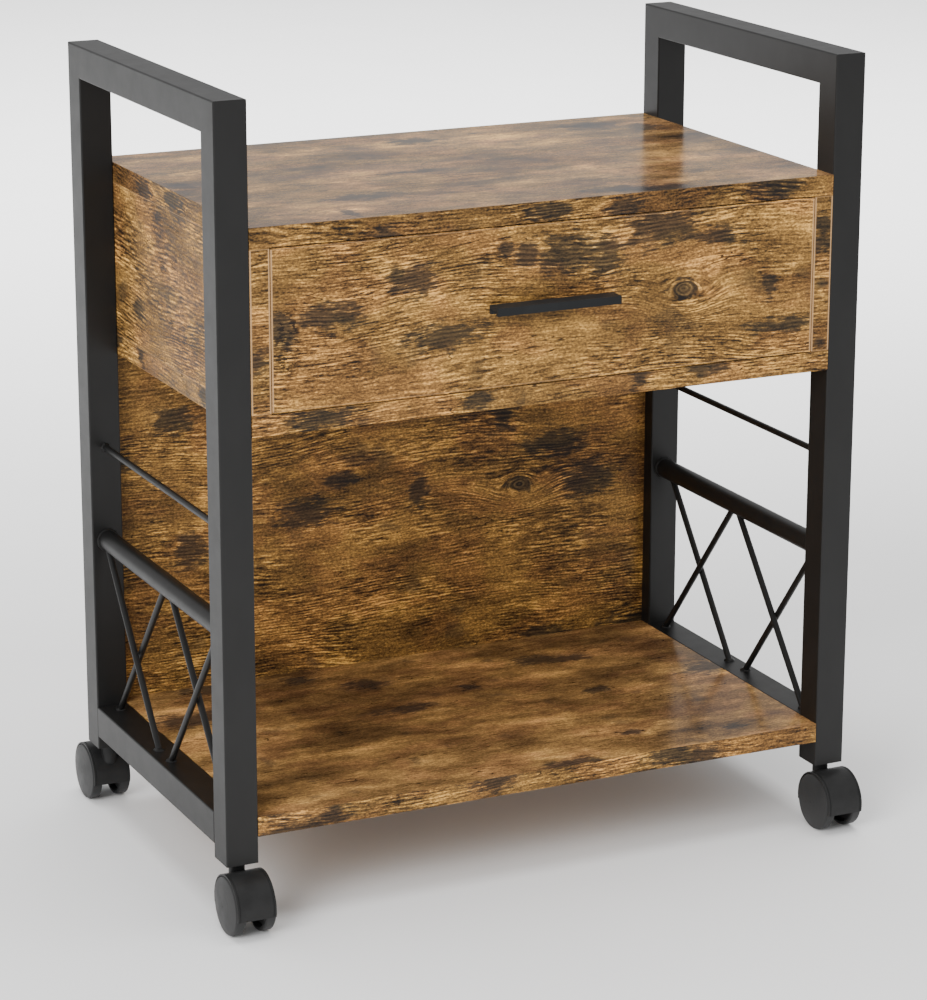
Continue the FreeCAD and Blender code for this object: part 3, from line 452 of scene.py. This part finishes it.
frame_black = powder_coat("frame_black", (0.0088, 0.0086, 0.0084), 0.42, 0.30)
handle_black = powder_coat("handle_black", (0.0165, 0.0172, 0.0180), 0.50, 0.08)
caster_black = moulded_plastic("caster_black", (0.0135, 0.0135, 0.0135), 0.42, 0.22)
wheel_black = moulded_plastic("wheel_black", (0.0185, 0.0185, 0.0186), 0.46, 0.28)
roller_white = moulded_plastic("roller_white", (0.62, 0.61, 0.55), 0.40, 0.5)
zinc = plated_metal("zinc_plate", (0.62, 0.63, 0.64), 0.30)
die_cast = plated_metal("die_cast", (0.52, 0.52, 0.51), 0.42, (1.1, 1.1, 1.1))
inner_board = plain_board("inner_board", (0.235, 0.140, 0.070), (0.155, 0.088, 0.045), (0.012, 0.4, 0.4))
drawer_side_board = plain_board("drawer_side_board", (0.235, 0.140, 0.070), (0.155, 0.088, 0.045),
                                (0.4, 0.012, 0.4))
beech = plain_board("beech", (0.60, 0.42, 0.24), (0.42, 0.27, 0.14), (0.4, 0.4, 0.4))

SLOTS = {"black_frame": frame_black, "black_handle": handle_black, "black_plastic": caster_black,
         "roller_nylon": roller_white, "zinc_steel": zinc, "die_cast_zinc": die_cast,
         "inner_board": inner_board, "beech": beech}

BOARDS = {
    "top_board": rustic("top_board", "x", 3.0, spots=9, edges=4, tone=-0.12, blots=0.35),
    "case_bottom_board": rustic("case_bottom_board", "x", 11.0, edges=4, blots=0.5),
    "case_left_side": rustic("case_left_side", "y", 19.0, spots=3, torn=1, edges=1, tone=-0.03, blots=0.5,
                             band_and_highlight=0.8),
    "case_right_side": rustic("case_right_side", "y", 27.0, edges=2, tone=-0.04, band_and_highlight=0.8),
    "lower_shelf": rustic("lower_shelf", "x", 35.0, knots=1, spots=9, edges=4, blots=0.35),
    "back_panel": rustic("back_panel", "x", 43.0, knots=1, spots=16, glows=6, tone=-0.03, blots=0.4),
    "drawer_front": rustic("drawer_front", "x", 51.0, knots=1, spots=12, glows=5, torn=1, tone=0.01,
                           blots=0.3, band_and_highlight=0.8),
    "drawer_left_side": drawer_side_board,
    "drawer_right_side": drawer_side_board,
}

ARRIS = {"rustic_wood": 0.5, "inner_board": 0.3, "black_frame": 0.35, "black_handle": 0.5,
         "black_plastic": 0.3, "roller_nylon": 0.3, "zinc_steel": 0.12, "die_cast_zinc": 0.15, "beech": 0.3}

for part in frame["record"]["subparts"]:
    name, slot = part["node"], part["material_slot"]
    node = nodes[name]
    node.data.materials.clear()
    node.data.materials.append(BOARDS.get(name) or (wheel_black if "_wheel_" in name else SLOTS[slot]))
    for face in node.data.polygons:
        face.use_smooth = True
    edge = node.modifiers.new("arris", "BEVEL")
    edge.width = ARRIS[slot] * MM
    edge.segments = 2
    edge.limit_method = "ANGLE"
    edge.angle_limit = math.radians(40)
    edge.harden_normals = True

# ---------------------------------------------------------------- welds on the side frames

WELD_STEPS = 24             # points round a dome
DOME_RINGS = 5
BEAD_STEPS, BEAD_SECTION = 48, 8
BEAD_THICK = 1.1 * MM       # bead round the end of a round rail
BEAD_IN = 0.3 * MM          # how far it stands off the leg
ROD_END = 3.7 * MM, 1.8 * MM        # radius and height of the dome at the end of a thin rod
ROD_FOOT = 4.3 * MM, 2.4 * MM       # the same at the foot of a lattice rod
ROD_GAP = 6 * MM            # feet further apart than this are two rods
END_TURN, FOOT_TURN = 90, 70        # radians of the lumps' phase to a metre, so that no two are alike


def dome(centre, outward, radius, height, turn):
    """A flattened, slightly lumpy bead of weld on a face; outward is 1 or -1 along y, or 0 for up."""
    def raised(first, second, rise):
        return Vector((first, second, rise) if outward == 0 else (first, outward * rise, second))

    verts, faces = [], []
    for ring in range(DOME_RINGS):
        lift = 0.5 * math.pi * ring / DOME_RINGS
        for step in range(WELD_STEPS):
            angle = 2 * math.pi * step / WELD_STEPS
            lumpy = 1 + 0.07 * math.sin(5 * angle + turn) + 0.04 * math.sin(9 * angle + 2 * turn)
            across = radius * math.cos(lift) * lumpy
            rise = height * math.sin(lift)
            first, second = across * math.cos(angle), across * math.sin(angle)
            verts.append(centre + raised(first, second, rise))
    verts.append(centre + raised(0, 0, height))
    for ring in range(DOME_RINGS - 1):
        for step in range(WELD_STEPS):
            after = (step + 1) % WELD_STEPS
            low, high = ring * WELD_STEPS, (ring + 1) * WELD_STEPS
            faces.append((low + step, low + after, high + after, high + step))
    top = (DOME_RINGS - 1) * WELD_STEPS
    faces += [(top + step, top + (step + 1) % WELD_STEPS, len(verts) - 1) for step in range(WELD_STEPS)]
    return verts, faces


def ring_bead(centre, radius, thick):
    """A rippled bead of weld round a tube that runs along y."""
    verts, faces = [], []
    for step in range(BEAD_STEPS):
        angle = 2 * math.pi * step / BEAD_STEPS
        rippled = thick * (1 + 0.16 * math.sin(11 * angle))
        for corner in range(BEAD_SECTION):
            turn = 2 * math.pi * corner / BEAD_SECTION
            out = radius + rippled * math.cos(turn)
            offset = Vector((out * math.cos(angle), rippled * math.sin(turn), out * math.sin(angle)))
            verts.append(centre + offset)
    for step in range(BEAD_STEPS):
        for corner in range(BEAD_SECTION):
            here, there = step * BEAD_SECTION, (step + 1) % BEAD_STEPS * BEAD_SECTION
            after = (corner + 1) % BEAD_SECTION
            faces.append((here + corner, here + after, there + after, there + corner))
    return verts, faces


def rod_feet(node, level):
    """Where a lattice's rods stand on the bottom rail: the middle of each group of points at that level."""
    points = [vertex.co for vertex in nodes[node].data.vertices if abs(vertex.co.z - level) < 0.6 * MM]
    points.sort(key=lambda point: point.y)
    groups = [[points[0]]]
    for point in points[1:]:
        if point.y - groups[-1][-1].y > ROD_GAP:
            groups.append([])
        groups[-1].append(point)
    return [sum(group, Vector()) / len(group) for group in groups]


def frame_welds():
    """All the beads on the two side frames, as one piece that rides on the stand."""
    parts = []
    for side in ("left", "right"):
        rail_low, rail_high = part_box(f"{side}_round_rail")
        rod_low, rod_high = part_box(f"{side}_thin_rod")
        front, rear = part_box(f"{side}_front_leg")[1].y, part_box(f"{side}_rear_leg")[0].y
        middle = (rail_low + rail_high) / 2
        thin = (rod_low + rod_high) / 2
        radius = (rail_high.z - rail_low.z) / 2
        for end, outward in ((front, 1), (rear, -1)):
            joint = Vector((middle.x, end + outward * BEAD_IN, middle.z))
            parts.append(ring_bead(joint, radius + 0.1 * MM, BEAD_THICK))
            parts.append(dome(Vector((thin.x, end, thin.z)), outward, *ROD_END, end * END_TURN))
        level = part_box(f"{side}_bottom_rail")[1].z
        for foot in rod_feet(f"{side}_lattice_rods", level):
            parts.append(dome(Vector((foot.x, foot.y, level)), 0, *ROD_FOOT, foot.y * FOOT_TURN))
    verts, faces = [], []
    for some_verts, some_faces in parts:
        start = len(verts)
        verts += some_verts
        faces += [tuple(start + corner for corner in face) for face in some_faces]
    mesh = bpy.data.meshes.new("frame_welds")
    mesh.from_pydata([tuple(v) for v in verts], [], faces)
    mesh.materials.append(frame_black)
    for face in mesh.polygons:
        face.use_smooth = True
    piece = bpy.data.objects.new("frame_welds", mesh)
    bpy.context.scene.collection.objects.link(piece)
    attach(piece, "stand")


frame_welds()

floor_paint = Shader("floor_paint")
dust = floor_paint.noise(scaled(floor_paint, (0.004, 0.004, 0.004)), 2.0)
floor_grey = floor_paint.mix(dust, (0.86, 0.86, 0.86, 1), (0.90, 0.90, 0.90, 1))
floor_paint.set(Base_Color=floor_grey, Roughness=0.9)
floor_mesh.materials.append(floor_paint.material)
